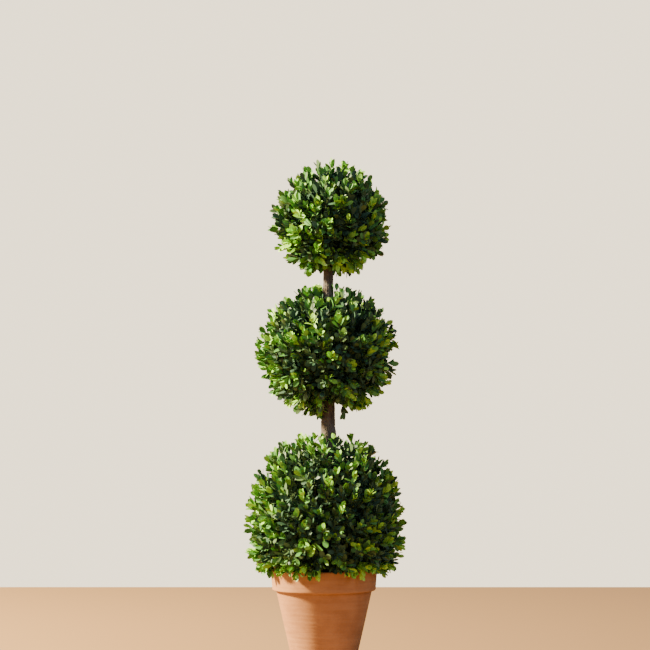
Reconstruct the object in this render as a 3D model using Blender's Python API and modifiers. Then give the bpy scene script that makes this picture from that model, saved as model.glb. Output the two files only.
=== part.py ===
"""Triple ball topiary: three clipped balls of small-leaved evergreen on one trunk, in a terracotta pot.

Metres, +Z up. The origin is the centre of the pot's flat underside, and the front is seen along +Y.
"""

import math
import random
from dataclasses import dataclass

import bmesh
import bpy
from mathutils import Matrix, Vector

SEED = 41
CLEARANCE = 0.0003  # between pieces that touch
UP = Vector((0, 0, 1))
SHARP_ANGLE = math.radians(35)

# Pot: a turned clay pot with a thick rim and one drain hole
POT_HEIGHT = 0.234
RIM_RADIUS = 0.125
RIM_FOOT_RADIUS = 0.1215
RIM_HEIGHT = 0.051
RIM_ROUNDING = 0.003
ROUNDING_POINTS = 4
BODY_TOP_RADIUS = 0.11225
TAPER = 0.2203  # the body's radius lost for each metre down
WALL = 0.010
FLOOR_THICKNESS = 0.012
DRAIN_RADIUS = 0.0125
FOOT_ROUNDING = 0.0025
TURNED_STEPS = 36
SCREW_MERGE = 0.00005

# Soil: a plug that fills the pot to a little below its rim
SOIL_TOP = POT_HEIGHT - 0.022
SOIL_FLAT_RADIUS = 0.055  # round the trunk's foot
SOIL_EDGE_DROP = 0.004

# Trunk: a slender stem that tapers to a tip inside the top ball
TRUNK_FOOT = SOIL_TOP + CLEARANCE
TRUNK_TIP = 1.130
TRUNK_X = 0.006
TRUNK_LEAN = 0.003  # how far the tip lies to the right of the foot
TRUNK_BOW = 0.0022
TRUNK_SWAY = 0.003  # front to back
TRUNK_SWAYS = 0.75  # waves of that over the trunk's length
FOOT_RADIUS = 0.0211
TIP_RADIUS = 0.0084
TIP_BLUNTNESS = 0.45  # the share of that radius left at the very tip
TIP_ROUNDING = 0.0165  # the length over which the tip rounds off
FLARE = 0.0099  # the root flare's own width at the soil
FLARE_HEIGHT = 0.012
STRAIGHT_FOOT = 0.008
BURL_HEIGHT = 0.547
BURL_SIZE = 0.0014
BURL_SPREAD = 0.012
TRUNK_STATIONS = 20
STATION_CROWDING = 1.4  # over 1, the stations stand closer at the foot
TRUNK_BEVEL_RESOLUTION = 3

# Foliage: leaves larger than life on short three-sided twigs
LEAF_LENGTH = 0.040
LEAF_WIDTH = 0.0230
LEAF_THICKNESS = 0.0022
LEAF_SIZES = (0.90, 1.08)
LEAF_TRIES = (1.0, 0.9, 0.8)  # smaller leaves tried in turn before a place is left bare
LEAF_TWIST = 0.25
LEAF_BROADENING = 0.12  # wider past its middle and narrower before it
LEAF_SHOULDER = 0.06  # how far its widest points lie towards the tip, as a share of its length
LOWER_OPENING = math.radians(77)  # between a leaf and its twig, in the lower pair
OPENING_CHANGE = math.radians(4)
LEAF_SUNK = 0.0005  # of a leaf's base past its twig's middle
LEAF_TURN = 0.3  # either way round the twig
PAIR_SPACING = 0.005
TWIG_STAND = (0.005, 0.0075)  # how far a twig stands out of the core
TWIG_RADIUS = 0.0017
TWIG_TIP_RADIUS = 0.0012
TWIG_SUNK = 0.012  # into the core
STRAY = 0.0145  # how far the longest tips stand out of the clipped surface
STRAY_REACH = 0.97  # of that, by the tips of the long sprays
OTHER_REACH = (0.2, 0.8)  # of that, by the tips of the others
STRAY_EVERY = 4  # one spray in four is a long one, as are all the leaders
COLLAR_TILT = math.radians(17)  # of the leaders beside the trunk, off the upright
COLLAR_TURN = 0.5  # of the leaders below against those above
LEADER_ROOM = 0.050  # kept free of other sprays round each leader
LIFT = 0.25  # how far a spray turns up from straight out
HEM_LIFT = -0.9
AXIS_JITTER = 0.16
CORE_DEPTH = 0.018  # of the core below the clipped surface
FLOOR_EDGE_DEPTH = 0.009  # the same, along the edge of the flat cut over the pot
CORE_LUMP = 0.0035
CORE_SUBDIVISIONS = 3
KEEP_CLEAR = 0.0015  # of a leaf from the trunk and the pot
DROOP = 0.024  # how far leaves hang below the rim's top
FLOOR_GAP = 0.0025  # between the rim's top and the flat cut over it
HEM_HEIGHT = 0.0135  # of the hem's sprays above the flat cut
GOLDEN_ANGLE = math.pi * (3 - math.sqrt(5))
COVER_TURN = 0.15  # either way, in the even cover
HEM_TURN = 0.2  # either way, as a share of the hem's spacing
LEVEL = 0.01  # directions that fall less than this don't meet the flat cut


@dataclass(frozen=True)
class Ball:
    """A clipped ball: it rises and drops from its widest part, and is squarer where its powers are over 2."""

    name: str
    centre: Vector
    half_width: float
    rise: float
    drop: float
    sprays: int
    upper_power: float = 2.0
    lower_power: float = 2.0
    floor: float | None = None  # the height at which the ball is cut flat
    hem_sprays: int = 0  # round the lower edge, hanging down


BALLS = (
    Ball("foliage_top", Vector((0.0151, 0, 1.034)), half_width=0.1300, rise=0.1445, drop=0.1115, sprays=27),
    Ball("foliage_middle", Vector((0.0062, 0, 0.742)), half_width=0.1585, rise=0.1470, drop=0.1475, sprays=38),
    Ball(
        "foliage_bottom",
        Vector((0.0025, 0, 0.335)),
        half_width=0.1778,
        rise=0.2110,
        drop=0.1320,
        sprays=45,
        upper_power=2.25,
        lower_power=3.3,
        floor=POT_HEIGHT + FLOOR_GAP,
        hem_sprays=12,
    ),
)


def clear_scene():
    for existing in list(bpy.data.objects):
        bpy.data.objects.remove(existing)


def new_collection(name):
    collection = bpy.data.collections.new(name)
    bpy.context.scene.collection.children.link(collection)
    return collection


def material(name, colour, roughness):
    """A plain Principled finish."""
    finish = bpy.data.materials.new(name)
    finish.use_nodes = True
    shader = finish.node_tree.nodes["Principled BSDF"]
    shader.inputs["Base Color"].default_value = (*colour, 1)
    shader.inputs["Roughness"].default_value = roughness
    shader.inputs["Metallic"].default_value = 0
    return finish


def arc(centre, radius, start, end, points):
    """Points along an arc in the profile's plane, with its angles in degrees."""
    angles = [math.radians(start + (end - start) * i / (points - 1)) for i in range(points)]
    return [(centre[0] + radius * math.cos(a), centre[1] + radius * math.sin(a)) for a in angles]


def apply_modifiers(solid):
    """The object's mesh as its modifiers leave it."""
    bpy.context.view_layer.update()
    evaluated = solid.evaluated_get(bpy.context.evaluated_depsgraph_get())
    mesh = bpy.data.meshes.new_from_object(evaluated)
    solid.modifiers.clear()
    solid.data = mesh


def shade_round(solid):
    """Smooth shading, with the sharp corners kept."""
    solid.data.shade_smooth()
    solid.data.set_sharp_from_angle(angle=SHARP_ANGLE)


def turned(name, profile, closed, collection, finish):
    """A turned body: the profile's points, radius and height, carried round Z."""
    mesh = bpy.data.meshes.new(name)
    count = len(profile)
    edges = [(i, (i + 1) % count) for i in range(count if closed else count - 1)]
    mesh.from_pydata([(radius, 0, height) for radius, height in profile], edges, [])
    body = bpy.data.objects.new(name, mesh)
    collection.objects.link(body)
    mesh.materials.append(finish)
    screw = body.modifiers.new("Turn", "SCREW")
    screw.steps = TURNED_STEPS
    screw.render_steps = TURNED_STEPS
    screw.use_merge_vertices = True
    screw.merge_threshold = SCREW_MERGE
    apply_modifiers(body)
    shade_round(body)


def pot_wall_radius(height):
    """The outer radius of the pot's tapered body, below its rim."""
    return BODY_TOP_RADIUS - TAPER * (POT_HEIGHT - RIM_HEIGHT - height)


def pot_inner_radius(height):
    """The inner radius of the pot, the same taper from its floor to its top."""
    return pot_wall_radius(height) - WALL


def pot_profile():
    """From the rim's top, down the outside, across the foot to the drain hole, and up the inside."""
    rim_foot = POT_HEIGHT - RIM_HEIGHT
    foot_radius = pot_wall_radius(0)
    floor_edge = FLOOR_THICKNESS + FOOT_ROUNDING
    lip = POT_HEIGHT - RIM_ROUNDING
    top_edge = (RIM_RADIUS - RIM_ROUNDING, POT_HEIGHT - RIM_ROUNDING)
    lower_edge = (RIM_FOOT_RADIUS - RIM_ROUNDING, rim_foot + RIM_ROUNDING)
    profile = [(pot_inner_radius(lip) + RIM_ROUNDING, POT_HEIGHT)]
    profile += arc(top_edge, RIM_ROUNDING, 90, 0, ROUNDING_POINTS)
    profile += arc(lower_edge, RIM_ROUNDING, 0, -90, ROUNDING_POINTS)
    profile += [(BODY_TOP_RADIUS, rim_foot)]
    profile += [(foot_radius, FOOT_ROUNDING), (foot_radius - FOOT_ROUNDING, 0)]
    profile += [(DRAIN_RADIUS, 0), (DRAIN_RADIUS, FLOOR_THICKNESS)]
    profile += [(pot_inner_radius(floor_edge) - FOOT_ROUNDING, FLOOR_THICKNESS)]
    profile += [(pot_inner_radius(floor_edge), floor_edge), (pot_inner_radius(lip), lip)]
    return profile


def soil_profile():
    """From the middle of the top, out and down the pot's inside, to the middle of the underside."""
    bottom = FLOOR_THICKNESS + CLEARANCE
    edge = SOIL_TOP - SOIL_EDGE_DROP

    def beside_wall(height):
        return pot_inner_radius(height) - CLEARANCE / math.cos(math.pi / TURNED_STEPS)

    chamfer = FOOT_ROUNDING + CLEARANCE
    return [
        (0, SOIL_TOP),
        (SOIL_FLAT_RADIUS, SOIL_TOP),
        (beside_wall(edge), edge),
        (beside_wall(bottom + chamfer), bottom + chamfer),
        (beside_wall(bottom + chamfer) - chamfer, bottom),
        (0, bottom),
    ]


def trunk_centre(height):
    """The trunk's middle: upright at its foot, then a slight lean and bow."""
    start = TRUNK_FOOT + STRAIGHT_FOOT
    along = max(0.0, (height - start) / (TRUNK_TIP - start))
    x = TRUNK_X + TRUNK_LEAN * along + TRUNK_BOW * math.sin(math.pi * along) + burl(height)
    y = TRUNK_SWAY * math.sin(2 * math.pi * TRUNK_SWAYS * along)
    return Vector((x, y, height))


def burl(height):
    """A small swelling where a side shoot was once cut away."""
    return BURL_SIZE * math.exp(-(((height - BURL_HEIGHT) / BURL_SPREAD) ** 2))


def trunk_radius(height):
    """An even taper, with the root flare at the foot and a rounded tip."""
    along = (height - TRUNK_FOOT) / (TRUNK_TIP - TRUNK_FOOT)
    taper = FOOT_RADIUS + (TIP_RADIUS - FOOT_RADIUS) * along
    flare = FLARE * math.exp(-(height - TRUNK_FOOT) / FLARE_HEIGHT)
    rounding = TIP_BLUNTNESS + (1 - TIP_BLUNTNESS) * (TRUNK_TIP - height) / TIP_ROUNDING
    return (taper + flare + burl(height)) * min(1.0, rounding)


def trunk_heights():
    """Stations up the trunk, closer together at the root flare, round the burl and at the tip."""
    length = TRUNK_TIP - TRUNK_FOOT
    shares = [i / TRUNK_STATIONS for i in range(TRUNK_STATIONS + 1)]
    stem = [TRUNK_FOOT + length * share**STATION_CROWDING for share in shares]
    foot = [TRUNK_FOOT + STRAIGHT_FOOT * step for step in (0.5, 1.0)]
    swelling = [BURL_HEIGHT + BURL_SPREAD * step for step in (-1.6, -0.8, 0, 0.8, 1.6)]
    tip = [TRUNK_TIP - TIP_ROUNDING * step for step in (0.4, 1.0)]
    return sorted(stem + foot + swelling + tip)


def limb(name, widening, collection):
    """The trunk as a tapering tube of circles, each wider by the given amount."""
    curve = bpy.data.curves.new(name, "CURVE")
    curve.dimensions = "3D"
    curve.bevel_depth = 1.0
    curve.bevel_resolution = TRUNK_BEVEL_RESOLUTION
    curve.use_fill_caps = True
    heights = trunk_heights()
    spline = curve.splines.new("POLY")
    spline.points.add(len(heights) - 1)
    for point, height in zip(spline.points, heights):
        end = widening if height == heights[-1] else 0
        point.co = (*(trunk_centre(height) + UP * end), 1)
        point.radius = trunk_radius(height) + widening
    tube = bpy.data.objects.new(name, curve)
    collection.objects.link(tube)
    return tube


def as_mesh(tube, collection):
    """The curve object made a mesh object with its caps welded on."""
    bpy.context.view_layer.update()
    evaluated = tube.evaluated_get(bpy.context.evaluated_depsgraph_get())
    mesh = bpy.data.meshes.new_from_object(evaluated)
    shape = bmesh.new()
    shape.from_mesh(mesh)
    bmesh.ops.remove_doubles(shape, verts=shape.verts, dist=0.00001)
    shape.to_mesh(mesh)
    shape.free()
    name = tube.name
    place = tube.matrix_world.copy()
    bpy.data.objects.remove(tube)
    solid = bpy.data.objects.new(name, mesh)
    solid.matrix_world = place
    collection.objects.link(solid)
    return solid


def surface_distance(ball, direction):
    """How far the clipped surface lies from the ball's centre in this direction."""
    above = direction.z >= 0
    power = ball.upper_power if above else ball.lower_power
    across = math.hypot(direction.x, direction.y) / ball.half_width
    upright = abs(direction.z) / (ball.rise if above else ball.drop)
    return (across**power + upright**power) ** (-1 / power)


def floor_distance(ball, direction):
    """How far the ball's flat cut lies from its centre in this direction."""
    if ball.floor is None or direction.z > -LEVEL:
        return math.inf
    return (ball.centre.z - ball.floor) / -direction.z


def floor_radius(ball):
    """The core's radius at its flat cut, which overhangs the pot's rim."""
    down = (ball.centre.z - ball.floor) / ball.drop
    return ball.half_width * (1 - down**ball.lower_power) ** (1 / ball.lower_power) - FLOOR_EDGE_DEPTH


def cut_level(shape, height):
    """Cuts off the shape below this height, closes it flat, and gives the new edge's vertices."""
    whole = shape.verts[:] + shape.edges[:] + shape.faces[:]
    plane = Vector((0, 0, height))
    cut = bmesh.ops.bisect_plane(shape, geom=whole, plane_co=plane, plane_no=-UP, clear_outer=True)
    edges = [item for item in cut["geom_cut"] if isinstance(item, bmesh.types.BMEdge)]
    bmesh.ops.contextual_create(shape, geom=edges)
    bmesh.ops.recalc_face_normals(shape, faces=shape.faces)
    return {vertex for edge in edges for vertex in edge.verts}


def core(ball, draw, collection, finish):
    """The dense inside of a ball: a lumpy sphere below the clipped surface, cut flat over the pot."""
    shape = bmesh.new()
    bmesh.ops.create_icosphere(shape, subdivisions=CORE_SUBDIVISIONS, radius=1)
    floor_edge = set()
    if ball.floor is not None:
        corner = Vector((floor_radius(ball), 0, ball.floor - ball.centre.z)).normalized()
        floor_edge = cut_level(shape, corner.z)
    for vertex in shape.verts:
        direction = vertex.co.normalized()
        if vertex in floor_edge:
            across = Vector((direction.x, direction.y, 0)).normalized() * floor_radius(ball)
            vertex.co = Vector((ball.centre.x, ball.centre.y, ball.floor)) + across
        else:
            lump = draw.uniform(-CORE_LUMP, CORE_LUMP)
            vertex.co = ball.centre + direction * (surface_distance(ball, direction) - CORE_DEPTH + lump)
    mesh = bpy.data.meshes.new(ball.name)
    shape.to_mesh(mesh)
    shape.free()
    mesh.materials.append(finish)
    solid = bpy.data.objects.new(ball.name, mesh)
    collection.objects.link(solid)
    return solid


def leaf_mesh():
    """A leaf of unit length along +Y: six-sided, widest past its middle, flat below and ridged above."""
    shape = bmesh.new()
    bmesh.ops.create_uvsphere(shape, u_segments=6, v_segments=2, radius=1)
    underside = min(shape.verts, key=lambda vertex: vertex.co.z)
    bmesh.ops.dissolve_verts(shape, verts=[underside])
    half_width = LEAF_WIDTH / LEAF_LENGTH / 2
    thickness = LEAF_THICKNESS / LEAF_LENGTH
    for vertex in shape.verts:
        side, along, face = vertex.co
        corner = 1 / math.cos(math.pi / 6)  # brings the four side corners out to the full width
        x = side * (corner + LEAF_BROADENING * along) * half_width
        y = (1 + along) / 2 + LEAF_SHOULDER * abs(side)
        vertex.co = (x, y, face * thickness)
    mesh = bpy.data.meshes.new("leaf")
    shape.to_mesh(mesh)
    shape.free()
    return mesh


def twig_mesh():
    """A three-sided twig of unit length along +Z, from its root."""
    shape = bmesh.new()
    upright = Matrix.Translation((0, 0, 0.5))
    bmesh.ops.create_cone(
        shape,
        cap_ends=True,
        segments=3,
        radius1=TWIG_RADIUS,
        radius2=TWIG_TIP_RADIUS,
        depth=1,
        matrix=upright,
    )
    mesh = bpy.data.meshes.new("twig")
    shape.to_mesh(mesh)
    shape.free()
    return mesh


def frame_at(point, side, along, face):
    """The matrix whose X, Y and Z are these directions, placed at the point."""
    turn = Matrix((side, along, face)).transposed().to_4x4()
    return Matrix.Translation(point) @ turn


def square_to(direction):
    """Two directions square to this one and to each other."""
    guide = UP if abs(direction.z) < 0.9 else Vector((1, 0, 0))
    first = direction.cross(guide).normalized()
    return first, direction.cross(first).normalized()


def is_clear(ball, point):
    """Whether a point stays in the ball's own space and off the trunk and the pot."""
    offset = point - ball.centre
    direction = offset.normalized()
    if offset.length > surface_distance(ball, direction) + STRAY:
        return False
    if point.z < TRUNK_TIP + KEEP_CLEAR:
        beside = (point.xy - trunk_centre(point.z).xy).length
        if beside < trunk_radius(point.z) + KEEP_CLEAR:
            return False
    over_pot = point.xy.length < RIM_RADIUS + KEEP_CLEAR
    lowest = POT_HEIGHT + KEEP_CLEAR if over_pot else POT_HEIGHT - DROOP
    return point.z > lowest


def leaf_places(end, axis, upper_opening, draw):
    """Where a spray's leaves grow: two crossed pairs below the twig's end."""
    first, second = square_to(axis)
    turn = draw.uniform(0, math.pi)
    for pair, opening in enumerate((upper_opening, LOWER_OPENING)):
        for half in (0, 1):
            around = turn + (pair / 2 + half) * math.pi + draw.uniform(-LEAF_TURN, LEAF_TURN)
            side = first * math.cos(around) + second * math.sin(around)
            tilt = opening + draw.uniform(-OPENING_CHANGE, OPENING_CHANGE)
            below = TWIG_RADIUS + PAIR_SPACING * pair
            yield end - axis * below, axis * math.cos(tilt) + side * math.sin(tilt)


def leaf_frame(point, along, axis, size, twist):
    """A leaf's place, with its upper face turned to the twig's tip."""
    face = (axis - along * axis.dot(along)).normalized() + square_to(along)[0] * twist
    side = along.cross(face).normalized()
    return frame_at(point - along * LEAF_SUNK, side, along, side.cross(along)) @ Matrix.Scale(size, 4)


def round_upright(tilt, count, turn=0.0):
    """Directions spaced evenly round the upright, each at the same tilt off it."""
    turns = [turn + 2 * math.pi * i / count for i in range(count)]
    level = math.sin(tilt)
    return [Vector((level * math.cos(a), level * math.sin(a), math.cos(tilt))) for a in turns]


def leaders(ball):
    """The longest sprays: round the ball's widest part, on its top, and beside the trunk above and below."""
    found = round_upright(math.pi / 2, 4)
    if ball.centre.z + ball.rise > TRUNK_TIP:
        found.append(UP)
    else:
        found += round_upright(COLLAR_TILT, 3)
    if ball.floor is None:
        found += round_upright(math.pi - COLLAR_TILT, 3, COLLAR_TURN)
    return found


def spray_starts(ball, draw):
    """Each spray's direction, its lift and whether it is a long one: leaders, an even cover, and the hem."""
    first = leaders(ball)
    for direction in first:
        yield direction, 0, True
    taken = [direction * surface_distance(ball, direction) for direction in first]
    for i in range(ball.sprays):
        rise = 1 - 2 * (i + 0.5) / ball.sprays
        around = i * GOLDEN_ANGLE + draw.uniform(-COVER_TURN, COVER_TURN)
        level = math.sqrt(1 - rise * rise)
        direction = Vector((level * math.cos(around), level * math.sin(around), rise))
        spot = direction * surface_distance(ball, direction)
        free = all((spot - other).length > LEADER_ROOM for other in taken)
        if free and spot.length < floor_distance(ball, direction):
            yield direction, LIFT, i % STRAY_EVERY == 0
    for i in range(ball.hem_sprays):
        drop = ball.floor + HEM_HEIGHT - ball.centre.z
        around = 2 * math.pi * (i + draw.uniform(-HEM_TURN, HEM_TURN)) / ball.hem_sprays
        direction = Vector((math.cos(around) * ball.half_width, math.sin(around) * ball.half_width, drop))
        yield direction.normalized(), HEM_LIFT, False


def opening_for(rise, size, radius):
    """The angle between a leaf and its twig that takes its tip this far further out than its base."""
    curving_away = (size * 0.8) ** 2 / (2 * radius)
    return math.acos(max(0.0, min(0.95, (rise - curving_away) / size)))


def place(mesh, name, matrix, collection):
    """A copy of the mesh at this place."""
    copy = bpy.data.objects.new(name, mesh)
    copy.matrix_world = matrix
    collection.objects.link(copy)


def grow_sprays(ball, draw, leaf, twig, collection):
    """All twigs and leaves of a ball, without those that would leave its space or touch a limb."""
    for number, (direction, lift, stray) in enumerate(spray_starts(ball, draw)):
        spread = AXIS_JITTER if lift else 0
        jitter = Vector([draw.uniform(-spread, spread) for _ in range(3)])
        axis = (direction + UP * lift * math.hypot(direction.x, direction.y) + jitter).normalized()
        surface = surface_distance(ball, direction)
        root = ball.centre + direction * (surface - CORE_DEPTH - TWIG_SUNK)
        size = LEAF_LENGTH * draw.uniform(*LEAF_SIZES)
        stand = draw.uniform(*TWIG_STAND)
        reach = STRAY * (STRAY_REACH if stray else draw.uniform(*OTHER_REACH))
        opening = opening_for(CORE_DEPTH - stand + TWIG_RADIUS + reach, size, surface)
        length = TWIG_SUNK + stand
        end = root + axis * length
        if not (is_clear(ball, root) and is_clear(ball, end)):
            continue
        side, face = square_to(axis)
        stem = frame_at(root, side, face, axis) @ Matrix.Diagonal((1, 1, length, 1))
        place(twig, f"twig_{number}", stem, collection)
        for count, (point, along) in enumerate(leaf_places(end, axis, opening, draw)):
            twist = draw.uniform(-LEAF_TWIST, LEAF_TWIST)
            tries = [leaf_frame(point, along, axis, size * share, twist) for share in LEAF_TRIES]
            fits = [matrix for matrix in tries if all(is_clear(ball, matrix @ v.co) for v in leaf.vertices)]
            if fits:
                place(leaf, f"leaf_{number}_{count}", fits[0], collection)


def shells(shape):
    """The connected groups of faces of a bmesh."""
    waiting = set(shape.faces)
    while waiting:
        group = {waiting.pop()}
        unvisited = list(group)
        while unvisited:
            near = {other for edge in unvisited.pop().edges for other in edge.link_faces} - group
            group |= near
            unvisited += near
        waiting -= group
        yield group


def keep_one_body(solid):
    """Drops all but the largest shell: loose scraps, and the walls of sealed hollows."""
    shape = bmesh.new()
    shape.from_mesh(solid.data)
    groups = sorted(shells(shape), key=len)
    bmesh.ops.delete(shape, geom=[face for group in groups[:-1] for face in group], context="FACES")
    shape.to_mesh(solid.data)
    shape.free()


def foliage(ball, cutter, leaf, twig, collection, finish):
    """One mass: the core with its bore for the trunk, and the sprays fused to it."""
    draw = random.Random(f"{SEED}{ball.name}")
    solid = core(ball, draw, collection, finish)
    bore = solid.modifiers.new("Bore", "BOOLEAN")
    bore.operation = "DIFFERENCE"
    bore.solver = "EXACT"
    bore.object = cutter
    apply_modifiers(solid)
    sprays = new_collection(ball.name + "_sprays")
    grow_sprays(ball, draw, leaf, twig, sprays)
    fuse = solid.modifiers.new("Fuse", "BOOLEAN")
    fuse.operation = "UNION"
    fuse.operand_type = "COLLECTION"
    fuse.collection = sprays
    fuse.solver = "EXACT"
    apply_modifiers(solid)
    for piece in list(sprays.objects):
        bpy.data.objects.remove(piece)
    bpy.data.collections.remove(sprays)
    keep_one_body(solid)


def main():
    clear_scene()
    parts = new_collection("Triple ball topiary")
    cutters = new_collection("Cutters")
    clay = material("terracotta", (0.48, 0.22, 0.10), 0.8)
    earth = material("soil", (0.05, 0.03, 0.02), 0.95)
    bark = material("bark", (0.20, 0.15, 0.11), 0.85)
    green = material("leaves", (0.06, 0.13, 0.03), 0.5)

    turned("pot", pot_profile(), True, parts, clay)
    turned("soil", soil_profile(), False, parts, earth)
    trunk = as_mesh(limb("trunk", 0, parts), parts)
    trunk.data.materials.append(bark)
    shade_round(trunk)

    cutter = as_mesh(limb("trunk_bore", CLEARANCE, cutters), cutters)
    cutter.hide_render = True
    cutter.display_type = "WIRE"
    leaf = leaf_mesh()
    twig = twig_mesh()
    for ball in BALLS:
        foliage(ball, cutter, leaf, twig, parts, green)


main()
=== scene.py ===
import math
from dataclasses import dataclass

import bpy
import numpy as np
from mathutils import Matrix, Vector


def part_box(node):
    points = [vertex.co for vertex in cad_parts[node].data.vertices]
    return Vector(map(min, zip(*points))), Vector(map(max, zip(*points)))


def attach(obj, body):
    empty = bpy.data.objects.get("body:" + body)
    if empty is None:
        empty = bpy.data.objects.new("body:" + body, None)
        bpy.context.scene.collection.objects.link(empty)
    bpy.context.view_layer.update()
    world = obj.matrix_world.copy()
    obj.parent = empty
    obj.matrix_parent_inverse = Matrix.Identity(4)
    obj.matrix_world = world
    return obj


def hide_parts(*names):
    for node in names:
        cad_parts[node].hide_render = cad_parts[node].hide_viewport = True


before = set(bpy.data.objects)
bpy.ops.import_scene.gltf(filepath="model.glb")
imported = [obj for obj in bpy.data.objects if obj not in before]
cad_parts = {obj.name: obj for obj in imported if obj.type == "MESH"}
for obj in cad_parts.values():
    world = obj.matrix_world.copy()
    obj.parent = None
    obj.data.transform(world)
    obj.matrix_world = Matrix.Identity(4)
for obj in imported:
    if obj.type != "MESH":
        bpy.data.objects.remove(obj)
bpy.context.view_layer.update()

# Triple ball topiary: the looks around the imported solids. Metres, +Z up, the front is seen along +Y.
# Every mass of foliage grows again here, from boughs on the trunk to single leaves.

SEED = 41
UP = np.array((0.0, 0.0, 1.0))
SIDEWAYS = np.array((1.0, 0.0, 0.0))
NEARLY_UPRIGHT = 0.9  # the rise of a way of unit length
GOLDEN_ANGLE = math.pi * (3 - math.sqrt(5))
FULL_TURN = 2 * math.pi


@dataclass(frozen=True)
class Waves:
    """A family of waves: how many, their whole turns round, and their pitches along in radians a metre."""

    count: int
    turns: tuple
    pitches: tuple


# Camera: level, in front, framed like the photograph
IMAGE_PIXELS = 650
SENSOR_WIDTH = 36  # in millimetres
METRES_PER_PIXEL = 0.002343  # at the pot's axis
CAMERA_DISTANCE = 7.2
CAMERA_X = 0.0022
CAMERA_HEIGHT = 0.8037

# Lights and floor
LIGHT_AIM = 0.65  # the height that the lights face
SEEN_COLOUR = (1.0, 0.85, 0.61)  # of the background
SEEN_STRENGTH = 2.5
AROUND_COLOUR = (0.88, 0.98, 1.30)  # of the even light from all round
AROUND_STRENGTH = 0.40
FLOOR_SIDE = 4.4
FLOOR_FRONT = -6.0
FLOOR_BACK = 2.23
FLOOR_LEVEL = -0.0005
FLOOR_COLOUR = (0.256, 0.141, 0.050)

# Pot: turned clay, with the sizes of its solid
POT_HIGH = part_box("pot")[1]
POT_HEIGHT = POT_HIGH.z
RIM_RADIUS = POT_HIGH.x
RIM_FOOT_RADIUS = RIM_RADIUS - 0.0035
RIM_HEIGHT = 0.051
RIM_ROUNDING = 0.0032
BODY_TOP_RADIUS = RIM_RADIUS - 0.01275
TAPER = 0.2203
TAPER_DEGREES = 12  # near enough, for the rounding at the foot
WALL = 0.010
FLOOR_THICKNESS = 0.012
DRAIN_RADIUS = 0.0125
FOOT_ROUNDING = 0.0025
POT_SEGMENTS = 224
PROFILE_STEP = 0.0025
THROWING_DEPTH = 0.00006
THROWING_PITCH = 0.0085
THROWING_WAVES = Waves(6, (0, 0), (150, 1400))
POT_INSET = 0.0003  # of the clay's surface from the solid's, in the mean
WOBBLE_SHARE = 1 / 3  # of the inset, by which it changes
WOBBLE_WAVES = Waves(8, (2, 5), (3, 30))

# Soil: a lumpy plug below the rim, with crumbs on it
SOIL_LOW, SOIL_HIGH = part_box("soil")
SOIL_RINGS = 44
SOIL_FIRST_RING = 0.02  # its radius, as a share of the edge's
SOIL_SEGMENTS = 150
SOIL_EDGE_GAP = 0.0006
SOIL_EDGE_DROP = 0.004
SOIL_LUMP = 0.0016
LUMP_WAVES = Waves(30, (0, 24), (60, 700))
GRIT_WAVES = Waves(20, (20, 60), (300, 1500))
CRUMBS = 700
CRUMB_SIZES = (0.0012, 0.0034)
CRUMB_ROOM = 0.008  # kept free at the pot's wall and round the trunk
CRUMB_SQUASH = (0.6, 1.1)
CRUMB_RAGGEDNESS = 0.2

# Trunk: the source's lean, bow, burl and flare, with bark on it
TRUNK_LOW, TRUNK_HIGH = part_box("trunk")
TRUNK_FOOT = TRUNK_LOW.z
TRUNK_TIP = TRUNK_HIGH.z
TRUNK_X = 0.006
TRUNK_LEAN = 0.003
TRUNK_BOW = 0.0022
TRUNK_SWAY = 0.003
TRUNK_SWAYS = 0.75
FOOT_RADIUS = 0.0211
TIP_RADIUS = 0.0084
TIP_BLUNTNESS = 0.45
TIP_ROUNDING = 0.0165
FLARE = 0.0099
FLARE_HEIGHT = 0.012
STRAIGHT_FOOT = 0.008
BURL_HEIGHT = 0.547
BURL_SIZE = 0.0014
BURL_SPREAD = 0.012
BARK_SEGMENTS = 96
BARK_STATIONS = 640
BARK_FURROW = 0.0014
BARK_PATCH = 0.00035
RIDGE_LEVEL = 0.55
FOLD_DEPTH = 0.5
FOLD_POWER = 0.7
FOLD_WAVES = Waves(26, (3, 14), (15, 160))
PLATE_DEPTH = 0.35
PLATE_POWER = 0.8
PLATE_WAVES = Waves(26, (2, 9), (120, 520))
PATCH_WAVES = Waves(24, (8, 30), (300, 1400))
BARK_RAISE = 0.0004
BARK_LIMITS = (-0.0016, 0.0013)
BARK_FADE = 0.004  # from the trunk's ends
THIN_BARK = 0.45  # the share of the relief that doesn't shrink with the trunk's radius

# Wood inside a ball: boughs, branches and twigs, each kind ending at a share of the way to the surface
WOOD_ENDS = (0.34, 0.50, 0.64)
WOOD_JITTER = 0.18  # of the step from one direction to the next
WOOD_REACH = (0.92, 1.08)  # of that share
WOOD_STATIONS = 7
WOOD_OUTWARD = 0.8  # how far its ends turn out from the centre, and up
WOOD_UPWARD = 0.15
BOUGH_RISE = 0.012  # of a bough's end over its root, at the ball's middle
BOUGH_STEEPNESS = 0.3  # more rise for each metre above or below that
BOUGH_LIFT = 0.35
BOUGH_ROOT = 0.7  # of the trunk's radius, where a bough starts
BOUGH_TOP_ROOM = 0.02  # from the trunk's tip
# Radii at the root and the tip, number of sides, finish and slot
STEMS = {
    "boughs": (0.0036, 0.0022, 7, "bark", "bark"),
    "branches": (0.0022, 0.0015, 5, "bark", "bark"),
    "twigs": (0.0014, 0.0010, 4, "twig", "bark"),
    "shoots": (0.0009, 0.0005, 3, "shoot", "leaves"),
}

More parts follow.
